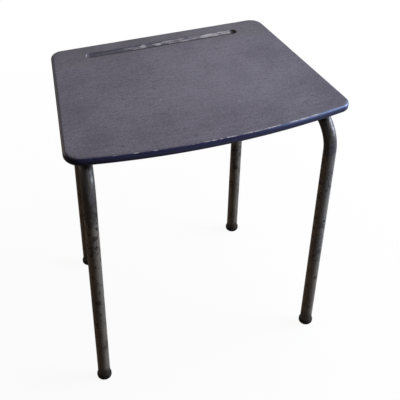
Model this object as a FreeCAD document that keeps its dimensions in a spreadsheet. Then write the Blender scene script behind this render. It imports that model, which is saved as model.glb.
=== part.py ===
import FreeCAD, Part
import math
import os

import Sketcher

# A child's school desk: a plywood top with a bowed front edge and a pencil groove, on two bent-tube
# side frames that two cross rails brace. Millimetres, +Z up, the sitter at -Y. The origin is on the
# floor, under the middle of the top.

SIZES = {
    # Plywood top. The widths run between the side edges, at the back edge and at the front corners.
    "desk_height": 580,
    "top_thickness": 18,
    "top_front_width": 536,
    "top_back_width": 437,
    "top_depth": 368,
    "front_bow": 27,
    "corner_radius": 26,
    "edge_round": 6.5,
    # Pencil groove along the back edge, with round ends and a round-sided floor.
    "groove_length": 312,
    "groove_width": 17,
    "groove_depth": 5.5,
    "groove_floor_radius": 4,
    "groove_rim_round": 1,
    "groove_back_distance": 38,
    # Bent-tube side frames, parallel to the side edges of the top.
    "tube_diameter": 25,
    "tube_wall": 1.5,
    "bend_radius": 65,
    "frame_side_inset": 38.5,
    "front_leg_lead": 7,
    "back_leg_inset": 17,
    # Cross rails between the side frames, each just past a bend.
    "rail_diameter": 20,
    "rail_wall": 1.5,
    "rail_bend_distance": 18,
    # Fixing straps between the rails and the top.
    "strap_length": 62,
    "strap_width": 20,
    "strap_thickness": 2.5,
    "strap_spacing": 260,
    # Round-head wood screws.
    "screw_diameter": 4,
    "screw_head_diameter": 8,
    "screw_head_height": 2.6,
    "screw_tip_length": 4,
    "screw_tip_cover": 5,
    "screw_hole_clearance": 0.5,
    "pilot_clearance": 0.2,
    # Plug feet, with fins that grip the bore of the tube.
    "foot_diameter": 30,
    "foot_height": 10,
    "foot_edge_radius": 5,
    "foot_shoulder_radius": 1.5,
    "plug_length": 20,
    "plug_fin_depth": 3,
    "plug_clearance": 0.1,
    # How far a cutting shape runs past what it cuts.
    "cut_overrun": 5,
}
PLUG_FINS = 3
FIN_HEIGHT_SHARE = 0.7
ROUND_LIMIT_SHARE = 0.9
SAME_PLACE = 1e-4

# Signs along X and along Y of what the desk has on both sides and at both ends.
SIDE_SIGN = {"left": "-", "right": "+"}
END_SIGN = {"front": "-", "rear": "+"}

# How a sketch numbers the points of a curve.
START, END, CENTRE = range(1, 4)

Vector = FreeCAD.Vector
UPRIGHT = Vector(0, 0, 1)
QUARTER_TURN = math.pi / 2

# Places and sizes that follow from the driving dimensions, written for the document's expressions.
HALF_FRONT = "(Sizes.top_front_width / 2)"
HALF_BACK = "(Sizes.top_back_width / 2)"
SIDE_DEPTH = "(Sizes.top_depth - Sizes.front_bow)"
BACK_EDGE_Y = "(Sizes.top_depth / 2)"
CORNER_LINE_Y = f"({BACK_EDGE_Y} - {SIDE_DEPTH})"
BOW_RADIUS = f"(({HALF_FRONT} ^ 2 + Sizes.front_bow ^ 2) / (2 * Sizes.front_bow))"
SIDE_SLOPE = f"(({HALF_FRONT} - {HALF_BACK}) / {SIDE_DEPTH})"
TAPER_ANGLE = f"atan({SIDE_SLOPE})"
GROOVE_Y = f"({BACK_EDGE_Y} - Sizes.groove_back_distance)"
UNDERSIDE_Z = "(Sizes.desk_height - Sizes.top_thickness)"
TUBE_RADIUS = "(Sizes.tube_diameter / 2)"
BORE_RADIUS = f"({TUBE_RADIUS} - Sizes.tube_wall)"
RUN_AXIS_Z = f"({UNDERSIDE_Z} - {TUBE_RADIUS})"
FRONT_LEG_Y = f"({CORNER_LINE_Y} - Sizes.front_leg_lead)"
BACK_LEG_Y = f"({BACK_EDGE_Y} - Sizes.back_leg_inset)"
LEG_Y = {"front": FRONT_LEG_Y, "rear": BACK_LEG_Y}
LEG_SPAN = f"(({BACK_LEG_Y} - {FRONT_LEG_Y}) / cos({TAPER_ANGLE}))"
RAIL_RADIUS = "(Sizes.rail_diameter / 2)"
RAIL_SETBACK = f"((Sizes.bend_radius + Sizes.rail_bend_distance) * cos({TAPER_ANGLE}))"
RAIL_Y = {"front": f"({FRONT_LEG_Y} + {RAIL_SETBACK})", "rear": f"({BACK_LEG_Y} - {RAIL_SETBACK})"}
STRAP_Z = f"({UNDERSIDE_Z} - Sizes.strap_thickness)"
RAIL_AXIS_Z = f"({STRAP_Z} - {RAIL_RADIUS})"
STRAP_HOLE_SPACING = "(Sizes.strap_length - Sizes.strap_width)"
FIRST_SCREW = ("-Sizes.strap_spacing / 2", f"{RAIL_Y['front']} - {STRAP_HOLE_SPACING} / 2")
SCREW_GRIP = "(Sizes.top_thickness - Sizes.screw_tip_cover)"
FIN_RADIUS = f"({BORE_RADIUS} - Sizes.plug_clearance)"
FIN_PITCH = f"(Sizes.plug_length / {PLUG_FINS})"
FIN_HEIGHT = f"({FIN_PITCH} * {FIN_HEIGHT_SHARE})"

doc = FreeCAD.newDocument("KidsDesk")
sheet = doc.addObject("Spreadsheet::Sheet", "Sizes")
for row, (alias, amount) in enumerate(SIZES.items(), start=1):
    sheet.set(f"A{row}", alias)
    sheet.set(f"B{row}", str(amount))
    sheet.setAlias(f"B{row}", alias)
doc.recompute()


def frame_axis_x(place_y):
    """Distance of a side frame's tube axis from the middle plane at a place along Y."""
    return f"({HALF_BACK} + ({BACK_EDGE_Y} - {place_y}) * {SIDE_SLOPE} - Sizes.frame_side_inset)"


def limited(radius, room):
    """Radius of a rounding, held within the wall that it is cut from."""
    return f"min({radius}; {ROUND_LIMIT_SHARE} * ({room}))"


def value(expression):
    """Number that an expression gives, for the first drawing of a sketch."""
    result = sheet.evalExpression(expression)
    return float(getattr(result, "Value", result))


def point(corner):
    """Sketch point of a corner given as two expressions."""
    return Vector(value(corner[0]), value(corner[1]), 0)


def new_body(label, **place):
    """Body with its own label, placed along x, y and z by expressions."""
    body = doc.addObject("PartDesign::Body", label)
    body.Label = label
    for axis, expression in place.items():
        body.setExpression(f"Placement.Base.{axis}", expression)
    return body


def origin_feature(body, role):
    """Origin plane or axis of a body, by its role."""
    return next(item for item in body.Origin.OriginFeatures if item.Role == role)


def new_sketch(body, name, role="XY_Plane", height="0"):
    """Sketch on one of the body's origin planes, raised to a height."""
    sketch = body.newObject("Sketcher::SketchObject", name)
    sketch.AttachmentSupport = [(origin_feature(body, role), "")]
    sketch.MapMode = "FlatFace"
    sketch.setExpression("AttachmentOffset.Base.z", height)
    return sketch


def dimension(sketch, kind, *references, size):
    """Add a dimension to a sketch and bind it to an expression."""
    number = sketch.addConstraint(Sketcher.Constraint(kind, *references, value(size)))
    sketch.setExpression(f"Constraints[{number}]", size)


def locate(sketch, curve, end, corner):
    """Place one point of a curve by its distances from the sketch's origin."""
    dimension(sketch, "DistanceX", curve, end, size=corner[0])
    dimension(sketch, "DistanceY", curve, end, size=corner[1])


def join_smoothly(sketch, joints):
    """Join curves end to end so that each runs on from the last without a corner."""
    for joint in joints:
        sketch.addConstraint(Sketcher.Constraint("Tangent", *joint))


def arc_between(start, end, radius):
    """Arc that turns anticlockwise from start to end, less than half a turn."""
    chord = end - start
    rise = math.sqrt(radius**2 - (chord.Length / 2) ** 2)
    centre = (start + end) / 2 + Vector(-chord.y, chord.x, 0).normalize() * rise
    angles = [math.atan2(place.y - centre.y, place.x - centre.x) for place in (start, end)]
    return Part.ArcOfCircle(Part.Circle(centre, UPRIGHT, radius), *angles)


def draw_outline(sketch, corners, bulges=None):
    """Draw a closed outline anticlockwise; bulges gives the radius of each side that is an arc."""
    bulges = bulges or {}
    places = [point(corner) for corner in corners]
    for side, start in enumerate(places):
        end = places[(side + 1) % len(places)]
        if side in bulges:
            sketch.addGeometry(arc_between(start, end, value(bulges[side])))
        else:
            sketch.addGeometry(Part.LineSegment(start, end))
    for side, corner in enumerate(corners):
        last_side = (side - 1) % len(corners)
        sketch.addConstraint(Sketcher.Constraint("Coincident", last_side, END, side, START))
        locate(sketch, side, START, corner)
    for side, radius in bulges.items():
        dimension(sketch, "Radius", side, size=radius)


def draw_slot(sketch, length, width, middle_y):
    """Draw a slot along X with half-round ends, centred on the vertical axis."""
    end_x, end_radius = f"({length} - {width}) / 2", f"{width} / 2"
    reach, radius, height = (value(size) for size in (end_x, end_radius, middle_y))
    right_end, left_end, upper, lower = range(4)
    for sign in (1, -1):
        circle = Part.Circle(Vector(sign * reach, height, 0), UPRIGHT, radius)
        middle_angle = (1 - sign) * QUARTER_TURN
        sketch.addGeometry(Part.ArcOfCircle(circle, middle_angle - QUARTER_TURN, middle_angle + QUARTER_TURN))
    for sign in (1, -1):
        level = height + sign * radius
        sketch.addGeometry(Part.LineSegment(Vector(sign * reach, level, 0), Vector(-sign * reach, level, 0)))
    join_smoothly(sketch, [(right_end, END, upper, START), (upper, END, left_end, START),
                           (left_end, END, lower, START), (lower, END, right_end, START)])
    sketch.addConstraint(Sketcher.Constraint("Equal", right_end, left_end))
    dimension(sketch, "Radius", right_end, size=end_radius)
    locate(sketch, right_end, CENTRE, (end_x, middle_y))
    locate(sketch, left_end, CENTRE, (f"-{end_x}", middle_y))


def draw_circle(sketch, corner, diameter):
    """Draw a circle about a corner."""
    curve = sketch.addGeometry(Part.Circle(point(corner), UPRIGHT, value(f"{diameter} / 2")))
    dimension(sketch, "Diameter", curve, size=diameter)
    locate(sketch, curve, CENTRE, corner)


def new_feature(body, kind, name, profile, **sizes):
    """Feature on a profile sketch, with its sizes bound to expressions."""
    feature = body.newObject(f"PartDesign::{kind}", name)
    feature.Profile = profile
    for size_name, expression in sizes.items():
        feature.setExpression(size_name, expression)
    return feature


def turned(body, name, profile):
    """Solid turned about the body's upright axis."""
    solid = new_feature(body, "Revolution", name, profile)
    solid.ReferenceAxis = (profile, ["V_Axis"])
    return solid


def round_edges(body, name, base, radius, wanted):
    """Round the edges of the base feature that a test picks out."""
    doc.recompute()
    names = [f"Edge{number}" for number, edge in enumerate(base.Shape.Edges, start=1) if wanted(edge)]
    fillet = body.newObject("PartDesign::Fillet", name)
    fillet.Base = (base, names)
    fillet.setExpression("Radius", radius)
    return fillet


def is_upright(edge):
    """Whether an edge is a straight upright one."""
    box = edge.BoundBox
    return box.XLength < SAME_PLACE and box.YLength < SAME_PLACE


def is_level(edge, height):
    """Whether an edge lies in the level plane at a height."""
    return max(abs(edge.BoundBox.ZMin - height), abs(edge.BoundBox.ZMax - height)) < SAME_PLACE


def is_in_groove(edge):
    """Whether an edge keeps within the length and width of the pencil groove."""
    box = edge.BoundBox
    half_length, half_width = value("Sizes.groove_length / 2"), value("Sizes.groove_width / 2")
    across = max(abs(box.YMin - value(GROOVE_Y)), abs(box.YMax - value(GROOVE_Y)))
    return max(-box.XMin, box.XMax) < half_length + SAME_PLACE and across < half_width + SAME_PLACE


def is_outer_ring(edge, level):
    """Whether an edge is the foot's outermost circle at a height."""
    return is_level(edge, level) and abs(edge.BoundBox.XMax - value("Sizes.foot_diameter / 2")) < SAME_PLACE


def line_pattern(body, name, axis, count, length):
    """Row of evenly spaced copies along one of the body's axes."""
    pattern = body.newObject("PartDesign::LinearPattern", name)
    pattern.Direction = (origin_feature(body, axis), [""])
    pattern.Occurrences = count
    pattern.setExpression("Length", length)
    return pattern


def pattern_over_screws(body, name, original):
    """Repeat a feature at every screw: across the straps, along each strap and on both rails."""
    doc.recompute()
    places = body.newObject("PartDesign::MultiTransform", name)
    places.Originals = [original]
    rail_spacing = f"{RAIL_Y['rear']} - {RAIL_Y['front']}"
    places.Transformations = [
        line_pattern(body, "across_straps", "X_Axis", len(SIDE_SIGN), "Sizes.strap_spacing"),
        line_pattern(body, "along_strap", "Y_Axis", len(END_SIGN), STRAP_HOLE_SPACING),
        line_pattern(body, "over_rails", "Y_Axis", len(END_SIGN), rail_spacing),
    ]
    body.Tip = places


def desk_top():
    """Plywood top: bowed trapezoid, round corners, rounded edges, pencil groove and pilot holes."""
    body = new_body("desk_top", z=UNDERSIDE_Z)
    front_side = 0
    outline = new_sketch(body, "top_outline")
    draw_outline(outline, [(f"-{HALF_FRONT}", CORNER_LINE_Y), (HALF_FRONT, CORNER_LINE_Y),
                           (HALF_BACK, BACK_EDGE_Y), (f"-{HALF_BACK}", BACK_EDGE_Y)],
                 {front_side: BOW_RADIUS})
    board = new_feature(body, "Pad", "top_board", outline, Length="Sizes.top_thickness")
    corners = round_edges(body, "top_corners", board, "Sizes.corner_radius", is_upright)
    thickness = value("Sizes.top_thickness")
    round_edges(body, "top_edges", corners, limited("Sizes.edge_round", "Sizes.top_thickness / 2"),
                lambda edge: is_level(edge, 0) or is_level(edge, thickness))

    slot = new_sketch(body, "groove_outline", height="Sizes.top_thickness")
    draw_slot(slot, "Sizes.groove_length", "Sizes.groove_width", GROOVE_Y)
    groove = new_feature(body, "Pocket", "groove", slot, Length="Sizes.groove_depth")
    floor = value("Sizes.top_thickness - Sizes.groove_depth")
    room = "min(Sizes.groove_depth - Sizes.groove_rim_round; Sizes.groove_width / 2)"
    hollow = round_edges(body, "groove_floor", groove, limited("Sizes.groove_floor_radius", room),
                         lambda edge: is_level(edge, floor))
    round_edges(body, "groove_rim", hollow, "Sizes.groove_rim_round",
                lambda edge: is_level(edge, thickness) and is_in_groove(edge))

    pilot = new_sketch(body, "pilot_place")
    draw_circle(pilot, FIRST_SCREW, "(Sizes.screw_diameter + Sizes.pilot_clearance)")
    hole = new_feature(body, "Pocket", "pilot_hole", pilot, Length=f"{SCREW_GRIP} + Sizes.pilot_clearance")
    hole.Reversed = True
    pattern_over_screws(body, "pilot_holes", hole)
    return body


def side_frame(side):
    """One bent tube: front leg, bend, run under the top, bend and back leg."""
    sign = SIDE_SIGN[side]
    body = new_body(f"{side}_side_frame", x=f"{sign}{frame_axis_x(FRONT_LEG_Y)}", y=FRONT_LEG_Y)
    body.setExpression("Placement.Rotation.Angle", f"90 deg {sign} {TAPER_ANGLE}")

    path = new_sketch(body, "tube_path", "XZ_Plane")
    path_sizes = ("Sizes.foot_height", RUN_AXIS_Z, "Sizes.bend_radius", LEG_SPAN)
    foot, top, bend, span = (value(size) for size in path_sizes)
    front_leg, front_bend, run, back_bend, back_leg = range(5)
    bend_centres = [Vector(along, top - bend, 0) for along in (bend, span - bend)]
    bend_circles = [Part.Circle(centre, UPRIGHT, bend) for centre in bend_centres]
    path.addGeometry([
        Part.LineSegment(Vector(0, foot, 0), Vector(0, top - bend, 0)),
        Part.ArcOfCircle(bend_circles[0], QUARTER_TURN, 2 * QUARTER_TURN),
        Part.LineSegment(Vector(bend, top, 0), Vector(span - bend, top, 0)),
        Part.ArcOfCircle(bend_circles[1], 0, QUARTER_TURN),
        Part.LineSegment(Vector(span, top - bend, 0), Vector(span, foot, 0)),
    ])
    join_smoothly(path, [(front_leg, END, front_bend, END), (front_bend, START, run, START),
                         (run, END, back_bend, END), (back_bend, START, back_leg, START)])
    for kind, line in (("Vertical", front_leg), ("Horizontal", run), ("Vertical", back_leg)):
        path.addConstraint(Sketcher.Constraint(kind, line))
    for bend_arc in (front_bend, back_bend):
        dimension(path, "Radius", bend_arc, size="Sizes.bend_radius")
    locate(path, front_leg, START, ("0", "Sizes.foot_height"))
    locate(path, back_leg, END, (LEG_SPAN, "Sizes.foot_height"))
    dimension(path, "DistanceY", run, START, size=RUN_AXIS_Z)

    section = new_sketch(body, "tube_section", height="Sizes.foot_height")
    for diameter in ("Sizes.tube_diameter", f"(2 * {BORE_RADIUS})"):
        draw_circle(section, ("0", "0"), diameter)
    doc.recompute()
    tube = new_feature(body, "AdditivePipe", "bent_tube", section)
    tube.Spine = (path, [f"Edge{curve + 1}" for curve in range(path.GeometryCount)])
    return body


def level_cylinder(name, radius, length, start, turn):
    """Cylinder about a level axis from a starting place; turn is the angle of that axis from +X."""
    cylinder = doc.addObject("Part::Cylinder", name)
    cylinder.setExpression("Radius", radius)
    cylinder.setExpression("Height", length)
    cylinder.setExpression("Placement", f"placement(vector({'; '.join(start)}); rotation({turn}; 90; 0))")
    return cylinder


def cut(name, base, tool):
    """Base with the tool's space taken out of it."""
    result = doc.addObject("Part::Cut", name)
    result.Base = base
    result.Tool = tool
    return result


def cross_rail(end):
    """Level tube between the side frames, its ends cut to saddles that fit their tubes."""
    label = f"{end}_cross_rail"
    rail_y = RAIL_Y[end]
    reach = frame_axis_x(rail_y)
    overrun = "Sizes.cut_overrun"
    bar = level_cylinder(f"{label}_bar", RAIL_RADIUS, f"2 * {reach}", (f"-{reach}", rail_y, RAIL_AXIS_Z), "0")
    bore = level_cylinder(f"{label}_bore", f"{RAIL_RADIUS} - Sizes.rail_wall", f"2 * ({reach} + {overrun})",
                          (f"-({reach} + {overrun})", rail_y, RAIL_AXIS_Z), "0")
    rail = cut(f"{label}_tube", bar, bore)
    cutter_half = f"({RAIL_RADIUS} + {TUBE_RADIUS} + {overrun})"
    for side, sign in SIDE_SIGN.items():
        start = (f"{sign}({reach} + {cutter_half} * sin({TAPER_ANGLE}))",
                 f"{rail_y} - {cutter_half} * cos({TAPER_ANGLE})", RUN_AXIS_Z)
        saddle = level_cylinder(f"{label}_{side}_saddle", TUBE_RADIUS, f"2 * {cutter_half}", start,
                                f"90 deg {sign} {TAPER_ANGLE}")
        rail = cut(f"{label}_{side}_end", rail, saddle)
    rail.Label = label
    return rail


def fixing_strap(end, side):
    """Flat strap across a rail, with round ends and a screw hole in each."""
    body = new_body(f"{end}_{side}_fixing_strap", x=f"{SIDE_SIGN[side]}Sizes.strap_spacing / 2",
                    y=RAIL_Y[end], z=STRAP_Z)
    body.Placement.Rotation = FreeCAD.Rotation(UPRIGHT, 90)
    outline = new_sketch(body, "strap_outline")
    draw_slot(outline, "Sizes.strap_length", "Sizes.strap_width", "0")
    for sign in END_SIGN.values():
        draw_circle(outline, (f"{sign}{STRAP_HOLE_SPACING} / 2", "0"),
                    "(Sizes.screw_diameter + Sizes.screw_hole_clearance)")
    new_feature(body, "Pad", "strap", outline, Length="Sizes.strap_thickness")
    return body


def fixing_screws():
    """Round-head wood screws, up through the straps into the top."""
    body = new_body("fixing_screws", x=FIRST_SCREW[0], y=FIRST_SCREW[1], z=STRAP_Z)
    head, shank = "(Sizes.screw_head_diameter / 2)", "(Sizes.screw_diameter / 2)"
    crown = "Sizes.screw_head_height"
    tip = f"(Sizes.strap_thickness + {SCREW_GRIP})"
    dome_side = 0
    profile = new_sketch(body, "screw_profile", "XZ_Plane")
    draw_outline(profile, [("0", f"-{crown}"), (head, "0"), (shank, "0"),
                           (shank, f"{tip} - Sizes.screw_tip_length"), ("0", tip)],
                 {dome_side: f"({head} ^ 2 + {crown} ^ 2) / (2 * {crown})"})
    pattern_over_screws(body, "screws", turned(body, "screw", profile))
    return body


def plug_foot(end, side):
    """Foot with a rounded tread and a finned plug that fills the end of the tube."""
    body = new_body(f"{end}_{side}_foot", x=f"{SIDE_SIGN[side]}{frame_axis_x(LEG_Y[end])}", y=LEG_Y[end])
    tread, core = "Sizes.foot_diameter / 2", f"({FIN_RADIUS} - Sizes.plug_fin_depth)"
    shoulder, plug_end = "Sizes.foot_height", "Sizes.foot_height + Sizes.plug_length"
    profile = new_sketch(body, "foot_profile", "XZ_Plane")
    draw_outline(profile, [("0", "0"), (tread, "0"), (tread, shoulder), (core, shoulder), (core, plug_end),
                           ("0", plug_end)])
    foot = turned(body, "foot_solid", profile)
    foot = round_edges(body, "tread_round", foot,
                       limited("Sizes.foot_edge_radius", f"{shoulder} - Sizes.foot_shoulder_radius"),
                       lambda edge: is_outer_ring(edge, 0))
    shoulder_level = value(shoulder)
    round_edges(body, "shoulder_round", foot, "Sizes.foot_shoulder_radius",
                lambda edge: is_outer_ring(edge, shoulder_level))

    fin_foot = f"{shoulder} + ({FIN_PITCH} - {FIN_HEIGHT}) / 2"
    fin_profile = new_sketch(body, "fin_profile", "XZ_Plane")
    draw_outline(fin_profile, [("0", fin_foot), (FIN_RADIUS, fin_foot), (core, f"{fin_foot} + {FIN_HEIGHT}"),
                               ("0", f"{fin_foot} + {FIN_HEIGHT}")])
    fin = turned(body, "fin", fin_profile)
    doc.recompute()
    fins = line_pattern(body, "fins", "Z_Axis", PLUG_FINS, f"{FIN_PITCH} * {PLUG_FINS - 1}")
    fins.Originals = [fin]
    body.Tip = fins
    return body


def check(parts):
    """Stop if any object of the document failed or any part's shape is not sound."""
    failed = [item.Label for item in doc.Objects if {"Invalid", "Error"} & set(item.State)]
    unsound = [part.Label for part in parts if part.Shape.isNull() or not part.Shape.isValid()]
    if failed or unsound:
        raise RuntimeError(f"failed objects: {failed}, unsound shapes: {unsound}")


nodes = [desk_top()]
nodes += [side_frame(side) for side in SIDE_SIGN]
nodes += [cross_rail(end) for end in END_SIGN]
nodes += [fixing_strap(end, side) for end in END_SIGN for side in SIDE_SIGN]
nodes += [fixing_screws()]
nodes += [plug_foot(end, side) for end in END_SIGN for side in SIDE_SIGN]
doc.recompute()
check(nodes)

os.makedirs("parts", exist_ok=True)
for node in nodes:
    node.Shape.exportStep(f"parts/{node.Label}.step")
    print(f"{node.Label}: {len(node.Shape.Solids)} solids, {node.Shape.Volume:.0f} mm3")
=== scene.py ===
"""Looks of a small old school desk for one child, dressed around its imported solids.

The desk has a painted plywood top with a bowed front edge and a pencil groove, on two
bent steel-tube side frames that are welded to two cross rails and stand on plug feet.
Sizes are in millimetres and become metres where a mesh or a texture is made. Lamps, floor
and camera are in metres.
"""

import logging
import math
from abc import ABC, abstractmethod
from dataclasses import dataclass, fields
from enum import Enum
from functools import partial
from typing import Any, ClassVar, Iterable, Mapping, Sequence

import bmesh
import bpy
import numpy as np
from mathutils import Matrix, Vector, noise

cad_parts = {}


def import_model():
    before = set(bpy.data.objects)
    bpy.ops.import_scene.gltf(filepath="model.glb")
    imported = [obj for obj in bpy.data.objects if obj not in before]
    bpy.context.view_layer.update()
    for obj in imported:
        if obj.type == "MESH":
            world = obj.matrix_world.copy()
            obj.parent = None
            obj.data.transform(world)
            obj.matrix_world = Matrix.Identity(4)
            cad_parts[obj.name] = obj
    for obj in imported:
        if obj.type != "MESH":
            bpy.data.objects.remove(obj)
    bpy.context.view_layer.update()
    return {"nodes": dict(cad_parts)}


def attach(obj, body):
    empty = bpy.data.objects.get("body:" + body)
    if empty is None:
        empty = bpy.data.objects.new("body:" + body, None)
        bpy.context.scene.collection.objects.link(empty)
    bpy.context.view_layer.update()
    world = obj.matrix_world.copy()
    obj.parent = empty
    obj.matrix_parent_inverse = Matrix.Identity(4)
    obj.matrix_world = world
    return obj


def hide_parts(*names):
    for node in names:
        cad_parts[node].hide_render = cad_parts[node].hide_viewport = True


LOG = logging.getLogger("kids_desk")
MM = 0.001
SAME_PLACE = 0.01
WHITE = "#FFFFFF"
MATH, VECTOR, RANGE = "ShaderNodeMath", "ShaderNodeVectorMath", "ShaderNodeMapRange"
MIX, NOISE, MAPPING = "ShaderNodeMix", "ShaderNodeTexNoise", "ShaderNodeMapping"
BUMP, SHADER = "ShaderNodeBump", "ShaderNodeBsdfPrincipled"

Tree = bpy.types.NodeTree
Node = bpy.types.Node
Socket = bpy.types.NodeSocket
Piece = bpy.types.Object
Colour = tuple[float, float, float, float]
Pair = tuple[float, float]
Triple = tuple[float, float, float]
Places = tuple[Triple, ...]
Plan = tuple[np.ndarray, np.ndarray]
Loop = list[bmesh.types.BMVert]


class Slot(Enum):
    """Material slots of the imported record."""

    TOP = "painted_top"
    TUBE = "painted_tube"
    SCREW = "screw_steel"


class Side(Enum):
    """The two halves of the desk, by the sign of x."""

    LEFT = -1
    RIGHT = 1


class Row(Enum):
    """The two cross rails, by the place of each along the side frame's run."""

    FRONT = -81.861
    REAR = 84.861


def linear(hex_colour: str) -> Colour:
    """Turn an sRGB hex colour into linear RGBA.

    Args:
        hex_colour: Colour as #RRGGBB.

    Returns:
        Red, green, blue and alpha for a node socket.
    """
    parts = [int(hex_colour[i : i + 2], 16) / 255 for i in (1, 3, 5)]
    red, green, blue = (c / 12.92 if c <= 0.04045 else ((c + 0.055) / 1.055) ** 2.4 for c in parts)
    return red, green, blue, 1.0


def metres(place: Iterable[float]) -> tuple[float, ...]:
    """Turn a place in millimetres into metres."""
    return tuple(c * MM for c in place)


def per_metre(size: float) -> float:
    """Give the texture scale at which one feature measures size millimetres."""
    return 1 / (size * MM)


def ramp(start: float, end: float, x: float | np.ndarray) -> float | np.ndarray:
    """Rise smoothly from 0 at start to 1 at end."""
    t = np.clip((x - start) / (end - start), 0.0, 1.0)
    return t * t * (3 - 2 * t)


def ramps(x: float | np.ndarray, places: Places) -> float | np.ndarray:
    """Add up smooth steps along x, each with its start, end and rise."""
    return sum(rise * ramp(start, end, x) for start, end, rise in places)


def bumps(x: np.ndarray, places: Places) -> np.ndarray:
    """Add up soft bumps along x, each with its place, rise and width."""
    return sum(rise * np.exp(-(((x - at) / width) ** 2)) for at, rise, width in places)


def add_node(
    tree: Tree, kind: str, inputs: Mapping[str | int, Any] | None = None, **settings: Any
) -> Node:
    """Add a node to a tree with its settings, values and links.

    Args:
        tree: Shader or geometry tree.
        kind: Type of the node.
        inputs: For each socket, by number or by its name among those in use, a value, the
            socket that feeds it, or the node whose first output in use feeds it.
        **settings: Properties of the node.

    Returns:
        The new node.
    """
    node = tree.nodes.new(kind)
    for name, setting in settings.items():
        setattr(node, name, setting)
    used = {socket.name: socket for socket in node.inputs if socket.enabled}
    for key, value in (inputs or {}).items():
        socket = used[key] if isinstance(key, str) else node.inputs[key]
        if isinstance(value, Node):
            value = next(output for output in value.outputs if output.enabled)
        if isinstance(value, Socket):
            tree.links.new(value, socket)
        else:
            socket.default_value = value
    return node


def put(name: str, data: bpy.types.ID) -> Piece:
    """Put a new object in the scene, at the origin.

    Args:
        name: Name of the object.
        data: Its mesh, curve, light or camera.

    Returns:
        The object.
    """
    thing = bpy.data.objects.new(name, data)
    bpy.context.collection.objects.link(thing)
    return thing


def coat(nodes: Mapping[str, Piece], names: Sequence[str], material: bpy.types.Material) -> list[Piece]:
    """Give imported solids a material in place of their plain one.

    Args:
        nodes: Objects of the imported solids.
        names: Which of them.
        material: The material.

    Returns:
        The coated solids.
    """
    pieces = [nodes[name] for name in names]
    for piece in pieces:
        piece.data.materials.clear()
        piece.data.materials.append(material)
    return pieces


def new_tree(name: str, sizes: Sequence[str]) -> Tree:
    """Start a Geometry Nodes tree with named size inputs.

    Args:
        name: Name of the tree.
        sizes: Names of its float inputs, in metres or shares.

    Returns:
        The tree, with a geometry input, the sizes, a material input and a geometry output.
    """
    tree = bpy.data.node_groups.new(name, "GeometryNodeTree")
    tree.interface.new_socket("Geometry", in_out="INPUT", socket_type="NodeSocketGeometry")
    for size in sizes:
        tree.interface.new_socket(size, in_out="INPUT", socket_type="NodeSocketFloat")
    tree.interface.new_socket("Material", in_out="INPUT", socket_type="NodeSocketMaterial")
    tree.interface.new_socket("Geometry", in_out="OUTPUT", socket_type="NodeSocketGeometry")
    return tree


def grow(holder: Piece, tree: Tree, values: Mapping[str, Any], name: str) -> Piece:
    """Run a Geometry Nodes tree on an object and keep the result as a plain mesh piece.

    Args:
        holder: Object that carries the points or paths. It is removed.
        tree: The tree.
        values: Value of each named input, set by its identifier.
        name: Name of the piece.

    Returns:
        The piece, at the origin, without the modifier.
    """
    modifier = holder.modifiers.new(tree.name, "NODES")
    modifier.node_group = tree
    for item in tree.interface.items_tree:
        if item.in_out == "INPUT" and item.name in values:
            modifier[item.identifier] = values[item.name]
    graph = bpy.context.evaluated_depsgraph_get()
    mesh = bpy.data.meshes.new_from_object(holder.evaluated_get(graph))
    bpy.data.objects.remove(holder)
    mesh.name = name
    return put(name, mesh)


class Finish(ABC):
    """A finish, which becomes one procedural material named for the real one."""

    NAME: ClassVar[str]

    @abstractmethod
    def shade(self, tree: Tree, place: Socket) -> Node:
        """Build the nodes of the finish.

        Args:
            tree: Tree of the material.
            place: Object coordinates.

        Returns:
            The shader.
        """

    def material(self) -> bpy.types.Material:
        """Build the node material.

        Returns:
            The material.
        """
        material = bpy.data.materials.new(self.NAME)
        material.use_nodes = True
        tree = material.node_tree
        tree.nodes.clear()
        place = add_node(tree, "ShaderNodeTexCoord").outputs["Object"]
        add_node(tree, "ShaderNodeOutputMaterial", {"Surface": self.shade(tree, place)})
        return material


@dataclass(frozen=True)
class PaintLook:
    """How the paint looks on one loop of the top, each a share or an array of shares.

    The shares are the face, dulled and with a painted sheen, against the glossy edge; wear,
    which along the front arris is also a painted glint; bare wood; grime and painted shade; and a
    painted sheen that turns the edge a paler blue.
    """

    # The face share carries the grey violet, which is partly a painted sheen on the navy paint.
    face: float | np.ndarray = 1.0
    # Wear shows pale undercoat; along the front arris it is also a painted glint.
    wear_and_glint: float | np.ndarray = 0.0
    bare: float | np.ndarray = 0.0
    # Grime and painted shade, which darken the edges and the groove.
    shade_and_grime: float | np.ndarray = 0.0
    # A painted sheen: a paler blue on the right of the edge.
    fade: float | np.ndarray = 0.0


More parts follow.
